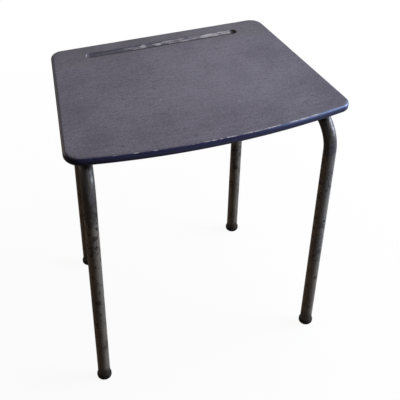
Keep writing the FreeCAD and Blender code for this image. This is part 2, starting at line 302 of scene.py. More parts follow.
@dataclass(frozen=True)
class PaintedPlywood(Finish):
    """Oil paint brushed on plywood, dulled and with a painted sheen on the writing face, worn through at the
    arris.

    The face is a matt grey violet, which stands both for dulled paint and for a painted sheen on
    the navy. It is palest in a painted highlight, a broad pool of light on the middle right, and a
    little olive at the back, where painted shade darkens it too. The grain shows through as fine
    streaks and short dark pores from side to side. The edge keeps the navy gloss, with a painted
    sheen of paler blue on the right. Pale undercoat shows along the front arris, as wear and as a
    painted glint, and in the groove. Painted shadow lies along the groove's near wall, in its left
    third and at its right end; painted shade darkens the edges towards the bottom and along the
    arris of the sides and back; and the underside is bare aged plywood with a lap of paint round
    its rim.
    """

    NAME: ClassVar[str] = "brushed_oil_paint_on_plywood"
    # The face colours stand both for dulled paint and for a painted sheen on the navy paint.
    face_light: str = "#7E7E8A"
    face_dark: str = "#62616E"
    pore: str = "#403E4F"
    edge_light: str = "#27295C"
    edge_dark: str = "#101135"
    # This paler blue is a painted sheen on the right of the front edge.
    edge_sheen_blue: str = "#92A8D4"
    # The undercoat shows where paint is worn through; along the front arris it also makes a painted glint.
    undercoat_and_glint: str = "#DCDADC"
    thin_undercoat_and_glint: str = "#787680"
    # This olive stains the back of the face and also paints shade there.
    stain: str = "#5A5A58"
    fleck: str = "#C9C5C8"
    # This dark colour is grime and painted shade on the edges and in the groove.
    shade_and_grime: str = "#1D1B22"
    ply_light: str = "#A88A63"
    ply_dark: str = "#86663F"
    streak: Pair = (42.0, 2.2)
    pores: Pair = (22.0, 2.6)
    chips: Pair = (15.0, 1.2)
    speckle: float = 3.2
    cloud: float = 95.0
    # This spot is the middle of a painted highlight, a broad pale pool of light on the face.
    painted_highlight: Triple = (70.0, 25.0, 580.0)
    painted_highlight_reach: float = 260.0
    coarse: Triple = (-75.0, 50.0, 580.0)
    coarse_reach: float = 120.0
    fleck_spacing: float = 120.0
    fleck_share: float = 0.006
    relief: float = 0.15

    def shade(self, tree: Tree, place: Socket) -> Node:
        """Build the paint, which reads the shares of PaintLook from the top's mesh.

        Args:
            tree: Tree of the material.
            place: Object coordinates.

        Returns:
            The shader.
        """
        add = partial(add_node, tree)
        face, wear_and_glint, bare, shade_and_grime, fade = (
            add("ShaderNodeAttribute", attribute_name=share.name).outputs["Fac"]
            for share in fields(PaintLook)
        )
        drawn: list[Node] = []
        for length, width in (self.streak, self.pores, self.chips):
            scale = per_metre(length), per_metre(width), per_metre(width)
            along = add(MAPPING, {"Vector": place, "Scale": scale})
            drawn.append(add(NOISE, {"Vector": along, "Scale": 1.0, "Detail": 4.0, "Roughness": 0.6}))
        streak, grain, chips = drawn
        clouds, speckle = (
            add(NOISE, {"Vector": place, "Scale": per_metre(size), "Detail": detail, "Roughness": 0.6})
            for size, detail in ((self.cloud, 5.0), (self.speckle, 1.0))
        )
        patches: list[Node] = []
        # The first patch is a painted highlight on the middle right of the face; the second is coarser
        # veneer.
        for spot, reach, rise in (
            (self.painted_highlight, self.painted_highlight_reach, 0.3), (self.coarse, self.coarse_reach, 0.09),
        ):
            off = add(VECTOR, {0: place, 1: metres(spot)}, operation="DISTANCE")
            patches.append(add(
                RANGE, {"Value": off, "From Min": reach * MM, "From Max": 0.0, "To Max": rise},
                interpolation_type="SMOOTHSTEP",
            ))
        painted_highlight, coarse = patches

        tone = add(MATH, {0: streak, 1: 0.7, 2: clouds}, operation="MULTIPLY_ADD")
        for more in (speckle, painted_highlight):
            tone = add(MATH, {0: more, 1: tone}, operation="ADD")
        tone = add(RANGE, {"Value": tone, "From Min": 1.17, "From Max": 1.73})
        # The open pores come in patches of coarser veneer, most of all on the left.
        pores = add(MATH, {0: clouds, 1: 0.4, 2: grain}, operation="MULTIPLY_ADD")
        pores = add(MATH, {0: pores, 1: coarse}, operation="ADD")
        # The back of the face is stained a little olive and darkened with painted shade.
        back = add("ShaderNodeSeparateXYZ", {"Vector": place}).outputs["Y"]
        stained_and_shaded = add(MATH, {0: clouds, 1: 0.12, 2: back}, operation="MULTIPLY_ADD")
        # Pale undercoat shows where worn, and along the front arris as a painted glint too.
        worn_and_glint = add(MATH, {0: wear_and_glint, 1: chips}, operation="ADD")
        lap = add(MATH, {0: bare, 1: clouds}, operation="ADD")
        pores, stained_and_shaded, worn_and_glint, lap = (
            add(
                RANGE, {"Value": share, "From Min": start, "From Max": end, "To Max": top},
                interpolation_type="SMOOTHSTEP",
            )
            for share, start, end, top in (
                (pores, 0.82, 0.91, 0.7), (stained_and_shaded, 0.165, 0.21, 0.28),
                (worn_and_glint, 1.02, 1.18, 1.0), (lap, 0.92, 1.0, 1.0),
            )
        )
        cells = add(
            "ShaderNodeTexVoronoi",
            {"Vector": place, "Scale": per_metre(self.fleck_spacing), "Randomness": 1.0},
            voronoi_dimensions="2D",
        )
        flecks = add(MATH, {0: cells, 1: self.fleck_share}, operation="LESS_THAN")
        thick = add(RANGE, {"Value": grain, "From Min": 0.41, "From Max": 0.59})

        painted, body, undercoat_and_glint, ply = (
            add(MIX, {"Factor": share, "A": linear(dark), "B": linear(light)}, data_type="RGBA")
            for share, dark, light in (
                (tone, self.face_dark, self.face_light), (clouds, self.edge_dark, self.edge_light),
                (thick, self.thin_undercoat_and_glint, self.undercoat_and_glint), (streak, self.ply_dark, self.ply_light),
            )
        )
        for share, colour in ((pores, self.pore), (stained_and_shaded, self.stain), (flecks, self.fleck)):
            painted = add(MIX, {"Factor": share, "A": painted, "B": linear(colour)}, data_type="RGBA")
        # The first layer here is a painted sheen of paler blue on the right of the edge.
        for share, layer in (
            (fade, linear(self.edge_sheen_blue)), (face, painted), (worn_and_glint, undercoat_and_glint),
            # This layer is grime and painted shade.
            (shade_and_grime, linear(self.shade_and_grime)), (lap, ply),
        ):
            body = add(MIX, {"Factor": share, "A": body, "B": layer}, data_type="RGBA")
        dulled = add(RANGE, {"Value": face, "To Min": 0.28, "To Max": 0.8})
        dulled = add(MATH, {0: worn_and_glint, 1: 0.25, 2: dulled}, operation="MULTIPLY_ADD")
        height = add(MATH, {0: pores, 1: -0.8, 2: streak}, operation="MULTIPLY_ADD")
        height = add(MATH, {0: worn_and_glint, 1: -0.7, 2: height}, operation="MULTIPLY_ADD")
        bump = add(BUMP, {"Height": height, "Distance": self.relief * MM, "Strength": 0.8})
        return add(SHADER, {
            "Base Color": body, "Roughness": dulled, "IOR": 1.5, "Specular IOR Level": 0.3, "Normal": bump,
        })


@dataclass(frozen=True)
class LacqueredTube(Finish):
    """Thin dark lacquer on drawn steel tube, rubbed and rusted through in spots.

    The eye sees a satin warm grey with brown clouds, glossier under the top and darker there with
    browning and painted shade, near-black chips in clusters that are longer along the leg, and a
    few rings of rust.
    """

    NAME: ClassVar[str] = "lacquered_steel_tube"
    light: str = "#918C7F"
    dark: str = "#686256"
    # This patina colour also paints shade on the legs just under the top.
    patina_and_shade: str = "#251A13"
    chip: str = "#170D08"
    rust: str = "#33231A"
    streak: Pair = (45.0, 5.0)
    chips: Pair = (9.0, 5.0)
    specks: Pair = (4.0, 2.6)
    cloud: float = 38.0
    # The brown under the top is partly painted shade cast by the top.
    browned_top: Pair = (430.0, 525.0)
    browned_foot: Pair = (46.0, 12.0)
    chipped: Pair = (120.0, 400.0)
    rust_spots: tuple[tuple[float, float, float, float], ...] = (
        (178.0, 155.0, 206.0, 8.0), (186.0, 155.0, 330.0, 6.0), (-228.0, -176.0, 405.0, 6.0),
        (-233.0, -176.0, 236.0, 7.0), (229.0, -176.0, 300.0, 7.0), (234.0, -176.0, 150.0, 6.0),
    )
    relief: float = 0.15

    def shade(self, tree: Tree, place: Socket) -> Node:
        """Build the lacquer.

        Args:
            tree: Tree of the material.
            place: Object coordinates.

        Returns:
            The shader.
        """
        add = partial(add_node, tree)
        drawn: list[Node] = []
        for length, width in (self.streak, self.chips, self.specks):
            scale = per_metre(width), per_metre(width), per_metre(length)
            along = add(MAPPING, {"Vector": place, "Scale": scale})
            drawn.append(add(NOISE, {"Vector": along, "Scale": 1.0, "Detail": 4.0, "Roughness": 0.6}))
        streak, flakes, specks = drawn
        cloud = add(
            NOISE, {"Vector": place, "Scale": per_metre(self.cloud), "Detail": 6.0, "Roughness": 0.65}
        )
        height = add("ShaderNodeSeparateXYZ", {"Vector": place}).outputs["Z"]
        # The lacquer has browned under the top, where painted shade darkens it too, and is grimed just above
        # the feet.
        browned_and_shaded = cloud
        for start, end in map(metres, (self.browned_top, self.browned_foot)):
            more = add(RANGE, {"Value": height, "From Min": start, "From Max": end, "To Max": 0.3})
            browned_and_shaded = add(MATH, {0: more, 1: browned_and_shaded}, operation="ADD")
        # The chips crowd together in the brown clouds, and higher up the legs.
        chips = add(MATH, {0: cloud, 1: 0.35, 2: flakes}, operation="MULTIPLY_ADD")
        start, end = metres(self.chipped)
        higher = add(
            RANGE, {"Value": height, "From Min": start, "From Max": end, "To Min": -0.05, "To Max": 0.035}
        )
        chips = add(MATH, {0: chips, 1: higher}, operation="ADD")
        browned_and_shaded, chips, specks = (
            add(
                RANGE, {"Value": share, "From Min": start, "From Max": end, "To Max": top},
                interpolation_type="SMOOTHSTEP",
            )
            for share, start, end, top in (
                (browned_and_shaded, 0.48, 0.72, 0.85), (chips, 0.752, 0.782, 1.0), (specks, 0.615, 0.645, 1.0),
            )
        )
        bare = add(MATH, {0: chips, 1: specks}, operation="MAXIMUM")
        layers = [(browned_and_shaded, self.patina_and_shade), (bare, self.chip)]
        for *spot, size in self.rust_spots:
            off = add(VECTOR, {0: place, 1: metres(spot)}, operation="DISTANCE")
            ragged = add(MATH, {0: flakes, 1: size * MM, 2: off}, operation="MULTIPLY_ADD")
            bloom = add(
                RANGE,
                {"Value": ragged, "From Min": 1.15 * size * MM, "From Max": 1.5 * size * MM,
                 "To Min": 0.9, "To Max": 0.0},
                interpolation_type="SMOOTHSTEP",
            )
            layers.append((bloom, self.rust))
        colour = add(
            MIX, {"Factor": streak, "A": linear(self.dark), "B": linear(self.light)}, data_type="RGBA"
        )
        for share, layer in layers:
            colour = add(MIX, {"Factor": share, "A": colour, "B": linear(layer)}, data_type="RGBA")
        rough, gloss = (
            add(RANGE, {"Value": browned_and_shaded, "To Min": clean, "To Max": brown})
            for clean, brown in ((0.42, 0.25), (0.45, 0.75))
        )
        rough = add(MATH, {0: bare, 1: 0.25, 2: rough}, operation="MULTIPLY_ADD")
        height = add(MATH, {0: bare, 1: -1.0, 2: streak}, operation="MULTIPLY_ADD")
        bump = add(BUMP, {"Height": height, "Distance": self.relief * MM, "Strength": 0.7})
        return add(SHADER, {
            "Base Color": colour, "Roughness": rough, "IOR": 1.5, "Specular IOR Level": gloss, "Normal": bump,
        })


@dataclass(frozen=True)
class DulledSteel(Finish):
    """Turned steel screws, dulled with age: grey metal with brown stains and a fine turned grain."""

    NAME: ClassVar[str] = "dulled_turned_steel"
    clean: str = "#8F8A82"
    stain: str = "#5B4B3C"
    blotch: float = 3.0
    grain: float = 0.35
    relief: float = 0.03

    def shade(self, tree: Tree, place: Socket) -> Node:
        """Build the steel.

        Args:
            tree: Tree of the material.
            place: Object coordinates.

        Returns:
            The shader.
        """
        add = partial(add_node, tree)
        blotch, grain = (
            add(NOISE, {"Vector": place, "Scale": per_metre(size), "Detail": detail})
            for size, detail in ((self.blotch, 4.0), (self.grain, 2.0))
        )
        colour = add(
            MIX, {"Factor": blotch, "A": linear(self.clean), "B": linear(self.stain)}, data_type="RGBA"
        )
        rough = add(RANGE, {"Value": blotch, "To Min": 0.3, "To Max": 0.65})
        bump = add(BUMP, {"Height": grain, "Distance": self.relief * MM, "Strength": 0.6})
        return add(SHADER, {"Base Color": colour, "Roughness": rough, "Metallic": 1.0, "Normal": bump})


@dataclass(frozen=True)
class MouldedRubber(Finish):
    """Moulded black rubber, a little shiny from wear, browned and dusty towards the floor."""

    NAME: ClassVar[str] = "moulded_black_rubber"
    black: str = "#0E0A09"
    brown: str = "#18110E"
    dust: str = "#5A544D"
    cloud: float = 12.0
    grain: float = 0.8
    dust_height: float = 2.0
    relief: float = 0.06

    def shade(self, tree: Tree, place: Socket) -> Node:
        """Build the rubber.

        Args:
            tree: Tree of the material.
            place: Object coordinates.

        Returns:
            The shader.
        """
        add = partial(add_node, tree)
        cloud, grain = (
            add(NOISE, {"Vector": place, "Scale": per_metre(size), "Detail": detail})
            for size, detail in ((self.cloud, 5.0), (self.grain, 2.0))
        )
        height = add("ShaderNodeSeparateXYZ", {"Vector": place}).outputs["Z"]
        low = add(
            RANGE, {"Value": height, "From Max": self.dust_height * MM, "To Min": 0.35, "To Max": 0.0}
        )
        low = add(MATH, {0: low, 1: cloud}, operation="MULTIPLY")
        colour: Colour | Node = linear(self.black)
        for share, layer in ((cloud, self.brown), (low, self.dust)):
            colour = add(MIX, {"Factor": share, "A": colour, "B": linear(layer)}, data_type="RGBA")
        rough = add(RANGE, {"Value": cloud, "To Min": 0.35, "To Max": 0.6})
        bump = add(BUMP, {"Height": grain, "Distance": self.relief * MM, "Strength": 0.6})
        return add(SHADER, {
            "Base Color": colour, "Roughness": rough, "IOR": 1.52, "Specular IOR Level": 0.25, "Normal": bump,
        })


@dataclass(frozen=True)
class StudioFloor(Finish):
    """White floor that keeps a soft shadow and is clear from below.

    Gloss sees it dim and warm close to the desk, and bright towards the window.
    """

    NAME: ClassVar[str] = "white_studio_floor"
    grey: str = "#505050"
    glow: float = 0.93
    glow_reach: Pair = (0.4, 2.5)
    near_gleam: float = 0.1
    gleam_near: str = "#D8C4AC"
    gleam_far: str = "#CCD6F4"
    gleam_toward: Triple = (0.8, -0.6, 0.0)
    gleam_reach: Pair = (0.24, 0.56)

    def shade(self, tree: Tree, place: Socket) -> Node:
        """Build the floor's white.

        Args:
            tree: Tree of the material.
            place: Object coordinates.

        Returns:
            The shader.
        """
        add = partial(add_node, tree)
        rays = add("ShaderNodeLightPath").outputs
        seen = add(MATH, {0: rays["Is Camera Ray"], 1: rays["Is Transmission Ray"]}, operation="MAXIMUM")
        far = add(VECTOR, {0: place}, operation="LENGTH")
        start, end = self.glow_reach
        glow = add(RANGE, {"Value": far, "From Min": start, "From Max": end, "To Min": self.glow})
        glow = add(MATH, {0: glow, 1: seen}, operation="MULTIPLY")
        toward = add(VECTOR, {0: place, 1: self.gleam_toward}, operation="DOT_PRODUCT")
        start, end = self.gleam_reach
        bright = add(RANGE, {"Value": toward, "From Min": start, "From Max": end})
        near, away = linear(self.gleam_near), linear(self.gleam_far)
        tint = add(MIX, {"Factor": bright, "A": near, "B": away}, data_type="RGBA")
        gleam = add(RANGE, {"Value": bright, "To Min": self.near_gleam})
        gleam = add(MATH, {0: gleam, 1: rays["Is Glossy Ray"]}, operation="MULTIPLY")
        lit = add("ShaderNodeBsdfDiffuse", {"Color": linear(self.grey)})
        for colour, strength in ((linear(WHITE), glow), (tint, gleam)):
            shine = add("ShaderNodeEmission", {"Color": colour, "Strength": strength})
            lit = add("ShaderNodeAddShader", {0: lit, 1: shine})
        below = add("ShaderNodeNewGeometry").outputs["Backfacing"]
        clear = add("ShaderNodeBsdfTransparent")
        return add("ShaderNodeMixShader", {0: below, 1: lit, 2: clear})


class PaintSkin:
    """A mesh of closed loops of vertices that carry the paint's attributes."""

    def __init__(self) -> None:
        """Start with no loops."""
        self.bm = bmesh.new()
        self.looks: dict[str, list[float]] = {share.name: [] for share in fields(PaintLook)}

    def ring(self, plan: Plan, out: float | np.ndarray, z: float | np.ndarray, look: PaintLook) -> Loop:
        """Add one loop of vertices.

        Args:
            plan: Points and outward normals of the plan that the loop follows.
            out: Distance outside the plan.
            z: Height.
            look: The paint there.

        Returns:
            The vertices.
        """
        points, normals = plan
        places = points + normals * np.reshape(out, (-1, 1))
        heights = np.broadcast_to(z, len(points))
        for name, shares in self.looks.items():
            shares.extend(np.broadcast_to(getattr(look, name), len(points)).tolist())
        return [self.bm.verts.new(metres((x, y, h))) for (x, y), h in zip(places, heights)]

    def join(self, loops: Sequence[Loop]) -> None:
        """Join each loop to the next with quads and close the last, the newest, with a fan.

        Args:
            loops: Loops of equal length.
        """
        for first, second in zip(loops, loops[1:]):
            for i in range(len(first)):
                self.bm.faces.new((first[i - 1], first[i], second[i], second[i - 1]))
        last = loops[-1]
        middle = self.bm.verts.new(sum((vert.co for vert in last), Vector()) / len(last))
        for shares in self.looks.values():
            shares.append(sum(shares[-len(last):]) / len(last))
        for i in range(len(last)):
            self.bm.faces.new((last[i - 1], last[i], middle))

    def fill_between(self, *loops: Loop) -> None:
        """Fill the flat between an outer and an inner loop."""
        edges = [self.bm.edges.get((loop[i - 1], loop[i])) for loop in loops for i in range(len(loop))]
        bmesh.ops.triangle_fill(self.bm, edges=edges, use_beauty=True)

    def mesh(self, name: str) -> bpy.types.Mesh:
        """Turn the loops into a smooth mesh with faces outward.

        Args:
            name: Name of the mesh.

        Returns:
            The mesh.
        """
        bmesh.ops.recalc_face_normals(self.bm, faces=self.bm.faces)
        mesh = bpy.data.meshes.new(name)
        self.bm.to_mesh(mesh)
        self.bm.free()
        for look, shares in self.looks.items():
            mesh.attributes.new(look, "FLOAT", "POINT").data.foreach_set("value", shares)
        mesh.polygons.foreach_set("use_smooth", [True] * len(mesh.polygons))
        return mesh


@dataclass(frozen=True)
class DeskTop:
    """Plywood top: a bowed trapezoid with sanded corners, bullnosed edges and a routed groove.

    The corners were rounded by hand, so each has its own radius. Wear and painted glint, grime and
    painted shade, and the painted sheen of the edge are shares that step up or down (start, end,
    rise), and the knocks are bumps (place, rise, width). The arris and under fields go by the angle
    round the bullnose from the face, the cove fields by the place across the groove from its
    middle, the end fields by x from an end of the groove, and the other fields by x or y.
    """

    height: float = 580.0
    thickness: float = 18.0
    front_width: float = 536.0
    back_width: float = 437.0
    depth: float = 368.0
    front_bow: float = 27.0
    front_left_radius: float = 31.0
    front_right_radius: float = 20.0
    back_right_radius: float = 27.0
    back_left_radius: float = 23.0
    edge_round: float = 6.5
    groove_length: float = 312.0
    groove_width: float = 17.0
    groove_depth: float = 5.5
    groove_rim_round: float = 1.0
    groove_back_distance: float = 38.0
    groove_right_shift: float = 2.5
    right_shift: float = 1.2
    station_step: float = 2.0
    arc_steps: int = 12
    groove_end_points: int = 17
    flat_margin: float = 5.0
    chip_depth: float = 0.7
    chip_spacing: float = 7.0
    chip_wear: float = 0.25
    chip_start: float = 0.25
    chip_rub: float = 0.3
    lap_width: float = 12.0
    arris_loops: int = 13
    under_loops: int = 9
    arris_angle: float = 0.73
    arris_spread: float = 0.24
    arris_face_end: Pair = (0.6, 0.9)
    arris_face_end_behind: Pair = (0.0, 0.4)
    # The arris shade fields paint shade on the upper arris of the sides and back.
    arris_shade: Places = ((0.1, 0.4, 0.65), (0.8, 1.57, -0.45))
    behind: Pair = (-160.0, -130.0)
    rest_wear: float = 0.2
    # The front rubs are wear and also a painted glint along the front arris.
    front_rub: float = 0.38
    front_rubs: Places = ((-100.0, 40.0, 0.45), (178.0, 218.0, -0.45))
    front_knocks: Places = (
        (-178.0, 0.32, 10.0), (-145.0, 0.5, 5.0), (-115.0, 0.4, 8.0), (-66.0, 0.16, 6.0),
    )
    # The sheen fields paint a paler blue sheen on the right of the front edge, less at the corner tip.
    edge_sheen_across: Places = ((25.0, 240.0, 0.92),)
    edge_sheen_behind: Pair = (-162.0, -140.0)
    edge_sheen_corner: Places = ((252.0, 266.0, -0.25),)
    # The painted sheen is weaker on the lower bullnose.
    under_fade: Places = ((0.9, 1.57, -0.85),)
    groove_rim_loops: int = 5
    groove_rim_wear: float = 0.4
    groove_face: float = 0.85
    cove_power: float = 2.4
    cove_insets: tuple[float, ...] = (0.02, 0.06, 0.12, 0.2, 0.3, 0.4, 0.5, 0.6, 0.7, 0.78, 0.86)
    cove_rub: Pair = (0.15, 0.42)
    # Painted shadow under the groove's near wall.
    cove_shadow: Places = ((0.5, 0.14, 0.85),)
    groove_rub: float = 0.2
    groove_rubs: Places = ((-130.0, -60.0, 0.36), (-20.0, 60.0, 0.1), (60.0, 130.0, 0.14))
    groove_knocks: Places = ((-37.0, 0.24, 5.0), (-22.0, -0.12, 8.0))
    # Painted shade in the groove's left third.
    groove_shade: Places = ((-40.0, -110.0, 0.3),)
    left_end_chip: Places = ((3.0, 0.0, 0.7),)
    # Less wear and a painted shadow at the groove's right end.
    right_end_rub: Places = ((-14.0, -4.0, -0.7),)
    right_end_grime: Places = ((-9.0, -3.0, 0.8),)

    def half_outline(
        self, front_radius: float, back_radius: float
    ) -> list[tuple[np.ndarray, float, float, float]]:
        """Find the arcs of the right half of the plan, from the middle of the front edge.

        Args:
            front_radius: Radius of the front corner.
            back_radius: Radius of the back corner.

        Returns:
            Centre, radius, first and last angle of the bow, the front corner and the back corner.
        """
        half_front, half_back = self.front_width / 2, self.back_width / 2
        back, front_corner = self.depth / 2, -self.depth / 2 + self.front_bow
        bow = (half_front**2 + self.front_bow**2) / (2 * self.front_bow)
        bow_centre = np.array([0.0, bow - self.depth / 2])
        side_angle = math.atan2(half_front - half_back, back - front_corner)
        side_out = np.array([math.cos(side_angle), math.sin(side_angle)])
        along = np.array([-side_out[1], side_out[0]])
        # The front corner's centre is one radius inside the side line and the bow.
        start = np.array([half_front, front_corner]) - front_radius * side_out - bow_centre
        middle = start @ along
        reach = math.sqrt(middle**2 - start @ start + (bow - front_radius) ** 2)
        front_centre = bow_centre + start + (-middle - reach) * along
        bow_end = math.atan2(*(front_centre - bow_centre)[::-1])
        inside = np.array([half_front, front_corner]) - back_radius * side_out
        back_centre = inside + (back - back_radius - inside[1]) / along[1] * along
        return [
            (bow_centre, bow, -math.pi / 2, bow_end),
            (front_centre, front_radius, bow_end, side_angle),
            (back_centre, back_radius, side_angle, math.pi / 2),
        ]

    def outline(self) -> Plan:
        """Walk round the plan of the top, anticlockwise from the middle of the front edge.

        Returns:
            Points and outward normals, in millimetres.
        """
        flip = np.array([-1.0, 1.0])
        right = self.half_outline(self.front_right_radius, self.back_right_radius)
        left = self.half_outline(self.front_left_radius, self.back_left_radius)
        mirrored = [(c * flip, r, math.pi - last, math.pi - first) for c, r, first, last in reversed(left)]
        points: list[np.ndarray] = []
        normals: list[np.ndarray] = []
        for centre, size, first, last in [*right, *mirrored]:
            if points:
                straight = centre + size * np.array([math.cos(first), math.sin(first)])
                steps = int(np.linalg.norm(straight - points[-1]) / self.station_step)
                begin, normal = points[-1], normals[-1]
                for step in range(1, steps):
                    points.append(begin + (straight - begin) * step / steps)
                    normals.append(normal)
            steps = max(int(abs(last - first) * size / self.station_step), self.arc_steps)
            for angle in np.linspace(first, last, steps + 1):
                normal = np.array([math.cos(angle), math.sin(angle)])
                place = centre + size * normal
                if not points or np.linalg.norm(place - points[-1]) > SAME_PLACE:
                    points.append(place)
                    normals.append(normal)
        if np.linalg.norm(points[0] - points[-1]) < SAME_PLACE:
            points.pop()
            normals.pop()
        return np.array(points) + (self.right_shift, 0.0), np.array(normals)

    def groove_outline(self) -> Plan:
        """Walk round the groove's plan, anticlockwise.

        Returns:
            Points and outward normals, in millimetres.
        """
        radius = self.groove_width / 2
        half = self.groove_length / 2 - radius
        middle, shift = self.depth / 2 - self.groove_back_distance, self.groove_right_shift
        steps = int(2 * half / self.station_step)
        points: list[Pair] = []
        normals: list[Pair] = []
        for sign in (1, -1):
            for angle in np.linspace(-math.pi / 2, math.pi / 2, self.groove_end_points):
                normal = sign * math.cos(angle), sign * math.sin(angle)
                normals.append(normal)
                points.append((shift + sign * half + radius * normal[0], middle + radius * normal[1]))
            for step in range(1, steps):
                normals.append((0.0, float(sign)))
                points.append((shift + sign * half * (1 - 2 * step / steps), middle + sign * radius))
        return np.array(points), np.array(normals)

    def skin_edge(self, skin: PaintSkin) -> Loop:
        """Add the rim of the face, the bullnosed edge and the underside.

        The front arris wears pale most on the sitter's right, partly as a painted glint, and there the edge
        takes a painted sheen of paler blue.

        Args:
            skin: Mesh that takes the loops.

        Returns:
            The loop at the rim of the flat face.
        """
        plan = self.outline()
        x, y = plan[0].T
        low, bull = self.height - self.thickness, self.edge_round
        # The rub is wear and, along the front arris, also a painted glint.
        rub = self.front_rub + ramps(x, self.front_rubs) + bumps(x, self.front_knocks)
        rub = np.where(y > -self.depth / 2 + 2 * self.front_bow, self.rest_wear, rub)
        nick = np.array([noise.fractal(Vector((*p, 0.0)) / self.chip_spacing, 1.0, 2.0, 3) for p in plan[0]])
        chips = self.chip_depth * np.clip(nick - self.chip_start + (rub - self.chip_rub), 0.0, 1.0)
        rub = np.clip(rub + self.chip_wear * nick, 0.0, 1.0)
        # Painted sheen of paler blue on the right of the front edge, less at the corner tip and behind.
        fade = ramps(x, self.edge_sheen_across) * (1 - ramp(*self.edge_sheen_behind, y))
        fade = fade * (1 + ramps(x, self.edge_sheen_corner))
        behind = ramp(*self.behind, y)
        loops = [skin.ring(plan, -bull - self.flat_margin, self.height, PaintLook())]
        for angle in np.radians(np.linspace(0, 90, self.arris_loops)):
            bite = chips * math.sin(2 * angle)
            out = -bull * (1 - math.sin(angle)) - bite * math.sin(angle)
            z = self.height - bull * (1 - math.cos(angle)) - bite * math.cos(angle)
            front, back = ramp(*self.arris_face_end, angle), ramp(*self.arris_face_end_behind, angle)
            # Painted shade darkens the arris on the sides and back.
            look = PaintLook(
                face=1 - front * (1 - behind) - back * behind,
                wear_and_glint=rub * math.exp(-(((angle - self.arris_angle) / self.arris_spread) ** 2)),
                shade_and_grime=behind * ramps(angle, self.arris_shade),
                fade=fade * (1 + ramps(angle, self.under_fade)),
            )
            loops.append(skin.ring(plan, out, z, look))
        # Painted shade darkens the bullnose towards the bottom; the underside takes a fixed darker share.
        for share in (0.25, 0.5, 0.75):
            z = self.height - bull - share * (self.thickness - 2 * bull)
            look = PaintLook(face=0.0, shade_and_grime=0.1 + 0.25 * share, fade=0.15 * fade * (1 - share))
            loops.append(skin.ring(plan, 0.0, z, look))
        for angle in np.radians(np.linspace(0, 90, self.under_loops)):
            out, z = -bull * (1 - math.cos(angle)), low + bull * (1 - math.sin(angle))
            loops.append(skin.ring(plan, out, z, PaintLook(face=0.0, shade_and_grime=0.4)))
        for share, bare in ((0.4, 0.3), (1.0, 1.0)):
            out = -bull - share * self.lap_width
            loops.append(skin.ring(plan, out, low, PaintLook(face=0.0, bare=bare, shade_and_grime=0.2)))
        skin.join(loops)
        return loops[0]

    def skin_groove(self, skin: PaintSkin) -> Loop:
        """Add the groove: a rounded rim and a flat-bottomed cove, worn on its far half, with painted shadow
        along its near wall, in its left third and at its right end.

        Args:
            skin: Mesh that takes the loops.

        Returns:
            The loop round the groove on the flat face.
        """
        slot = self.groove_outline()
        x, far = slot[0][:, 0], slot[1][:, 1]
        from_left, from_right = x - x.min(), x - x.max()
        rub = self.groove_rub + ramps(x, self.groove_rubs) + bumps(x, self.groove_knocks)
        # Less wear at the right end keeps its painted shadow dark.
        rub = rub + ramps(from_right, self.right_end_rub)
        chip = ramps(from_left, self.left_end_chip)
        # Painted shade in the left third and painted shadow at the right end.
        painted_shade = np.maximum(ramps(x, self.groove_shade), ramps(from_right, self.right_end_grime))
        rim, half = self.groove_rim_round, self.groove_width / 2
        loops = [skin.ring(slot, rim + self.flat_margin, self.height, PaintLook())]
        for angle in np.radians(np.linspace(0, 60, self.groove_rim_loops)):
            out, z = rim * (1 - math.sin(angle)), self.height - rim * (1 - math.cos(angle))
            look = PaintLook(wear_and_glint=self.groove_rim_wear * math.sin(angle) + chip)
            loops.append(skin.ring(slot, out, z, look))
        for inset in self.cove_insets:
            drop = (1 - (1 - inset) ** self.cove_power) ** (1 / self.cove_power)
            across = far * (1 - inset)
            # The dark share in the cove is painted shadow under the near wall, with the painted shade.
            look = PaintLook(
                face=self.groove_face, wear_and_glint=rub * ramp(*self.cove_rub, across),
                shade_and_grime=np.maximum(ramps(across, self.cove_shadow), painted_shade),
            )
            loops.append(skin.ring(slot, -half * inset, self.height - self.groove_depth * drop, look))
        skin.join(loops)
        return loops[0]

    def dress(self, finish: PaintedPlywood) -> Piece:
        """Build the top, give it its paint and let it stand for the solid.

        Args:
            finish: The paint.

        Returns:
            The finished piece.
        """
        skin = PaintSkin()
        skin.fill_between(self.skin_edge(skin), self.skin_groove(skin))
        piece = put("worn_desk_top", skin.mesh("worn_desk_top"))
        piece.data.materials.append(finish.material())
        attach(piece, "root")
        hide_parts("desk_top")
        return piece


